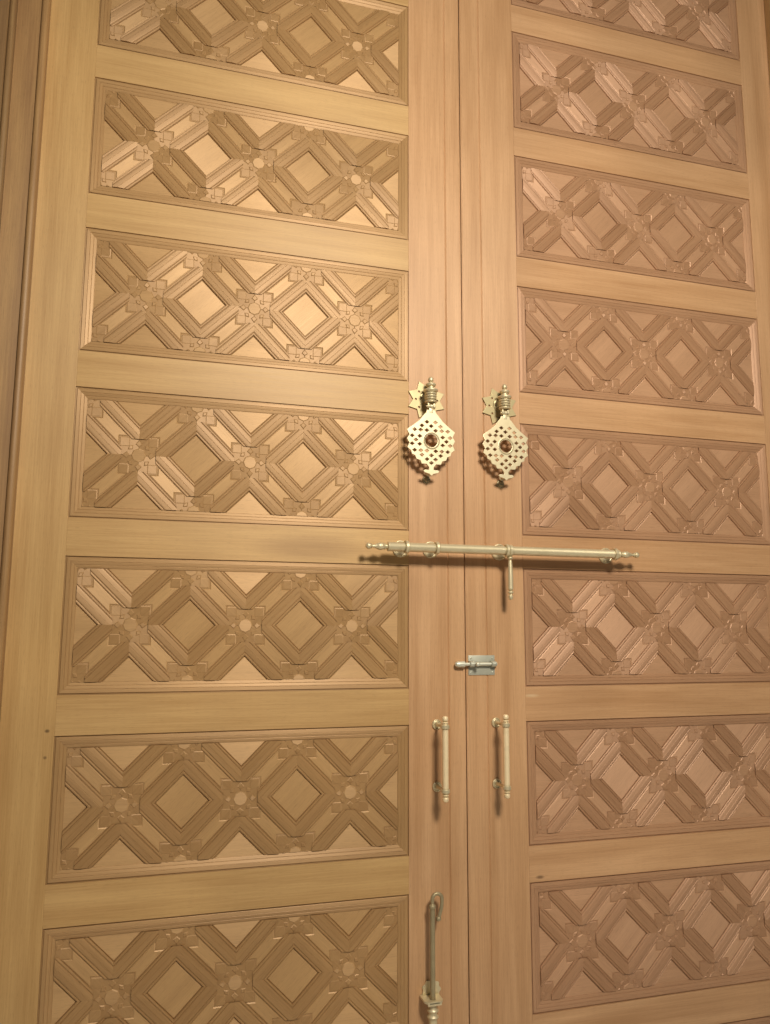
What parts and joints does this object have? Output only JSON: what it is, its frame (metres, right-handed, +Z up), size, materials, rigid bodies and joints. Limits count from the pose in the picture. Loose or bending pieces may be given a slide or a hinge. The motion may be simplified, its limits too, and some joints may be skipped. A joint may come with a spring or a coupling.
{
  "type": "carved double door with frame",
  "caption": "Tall pair of wooden temple door leaves with rows of carved lattice panels, brass knockers, pulls and bolts, hung in a moulded frame.",
  "frame": {"origin": "on the floor, midway between the frame's posts, in the plane of the leaves' carved face", "axes": "+Z up, +X to the right and +Y away from someone who faces the carved side"},
  "size_m": [2.282, 0.142, 3.741],
  "materials": {
    "frame_wood": "satin varnish",
    "leaf_wood": "satin varnish",
    "panel_wood": "satin varnish",
    "hinge_brass": "dull",
    "pale_brass": "cast and polished, a little dulled",
    "pale_nickel": "plated, dulled"
  },
  "bodies": {
    "frame": {"left_jamb": "frame_wood", "right_jamb": "frame_wood", "frame_head": "frame_wood", "threshold": "frame_wood", "left_casing": "frame_wood", "right_casing": "frame_wood", "head_casing": "frame_wood", "foot_bolt_socket": "pale_brass", "hinge_frame_plates": "hinge_brass", "hinge_pins": "hinge_brass"},
    "left_leaf": {"left_hinge_stile": "leaf_wood", "left_meeting_stile": "leaf_wood", "left_bottom_rail": "leaf_wood", "left_top_rail": "leaf_wood", "left_mid_rails": "leaf_wood", "left_panel_1": "panel_wood", "left_panel_2": "panel_wood", "left_panel_3": "panel_wood", "left_panel_4": "panel_wood", "left_panel_5": "panel_wood", "left_panel_6": "panel_wood", "left_panel_7": "panel_wood", "left_panel_8": "panel_wood", "left_panel_9": "panel_wood", "left_hinge_plates": "hinge_brass", "left_knocker_hanger": "pale_brass", "left_knocker_stud": "pale_brass", "left_pull_bar": "pale_brass", "left_pull_posts": "pale_brass", "bar_bolt_keepers": "pale_brass", "small_bolt_keeper": "pale_nickel", "foot_bolt_barrel": "pale_brass", "foot_bolt_guides": "pale_brass"},
    "right_leaf": {"right_hinge_stile": "leaf_wood", "right_meeting_stile": "leaf_wood", "right_bottom_rail": "leaf_wood", "right_top_rail": "leaf_wood", "right_mid_rails": "leaf_wood", "right_panel_1": "panel_wood", "right_panel_2": "panel_wood", "right_panel_3": "panel_wood", "right_panel_4": "panel_wood", "right_panel_5": "panel_wood", "right_panel_6": "panel_wood", "right_panel_7": "panel_wood", "right_panel_8": "panel_wood", "right_panel_9": "panel_wood", "right_hinge_plates": "hinge_brass", "right_knocker_hanger": "pale_brass", "right_knocker_stud": "pale_brass", "right_pull_bar": "pale_brass", "right_pull_posts": "pale_brass", "bar_bolt_guides": "pale_brass", "small_bolt_plate": "pale_nickel"},
    "bar_bolt": {"bar_bolt_rod": "pale_brass"},
    "bar_handle": {"bar_bolt_handle": "pale_brass"},
    "small_bolt": {"small_bolt_rod": "pale_nickel"},
    "foot_bolt": {"foot_bolt_rod": "pale_brass"},
    "left_knocker": {"left_knocker_plate": "pale_brass"},
    "right_knocker": {"right_knocker_plate": "pale_brass"}
  },
  "joints": [
    {"name": "left_leaf_swing", "type": "hinge", "parent": "frame", "child": "left_leaf", "pos_m": [-1, 0.06, 0], "axis": [0, 0, 1], "range_deg": [0, 90]},
    {"name": "right_leaf_swing", "type": "hinge", "parent": "frame", "child": "right_leaf", "pos_m": [1, 0.06, 0], "axis": [0, 0, -1], "range_deg": [0, 90]},
    {"name": "bar_bolt_slide", "type": "slide", "parent": "right_leaf", "child": "bar_bolt", "axis": [1, 0, 0], "range_m": [0, 0.266]},
    {"name": "bar_handle_turn", "type": "hinge", "parent": "bar_bolt", "child": "bar_handle", "pos_m": [0.0909, -0.043, 1.6948], "axis": [-1, 0, 0], "range_deg": [-20, 200]},
    {"name": "small_bolt_slide", "type": "slide", "parent": "right_leaf", "child": "small_bolt", "axis": [1, 0, 0], "range_m": [0, 0.034]},
    {"name": "foot_bolt_slide", "type": "slide", "parent": "left_leaf", "child": "foot_bolt", "axis": [0, 0, 1], "range_m": [-0.04, 0]},
    {"name": "left_knocker_lift", "type": "hinge", "parent": "left_leaf", "child": "left_knocker", "pos_m": [-0.101, -0.034, 2.03], "axis": [-1, 0, 0], "range_deg": [0, 110]},
    {"name": "right_knocker_lift", "type": "hinge", "parent": "right_leaf", "child": "right_knocker", "pos_m": [0.089, -0.034, 2.03], "axis": [-1, 0, 0], "range_deg": [0, 110]}
  ]
}
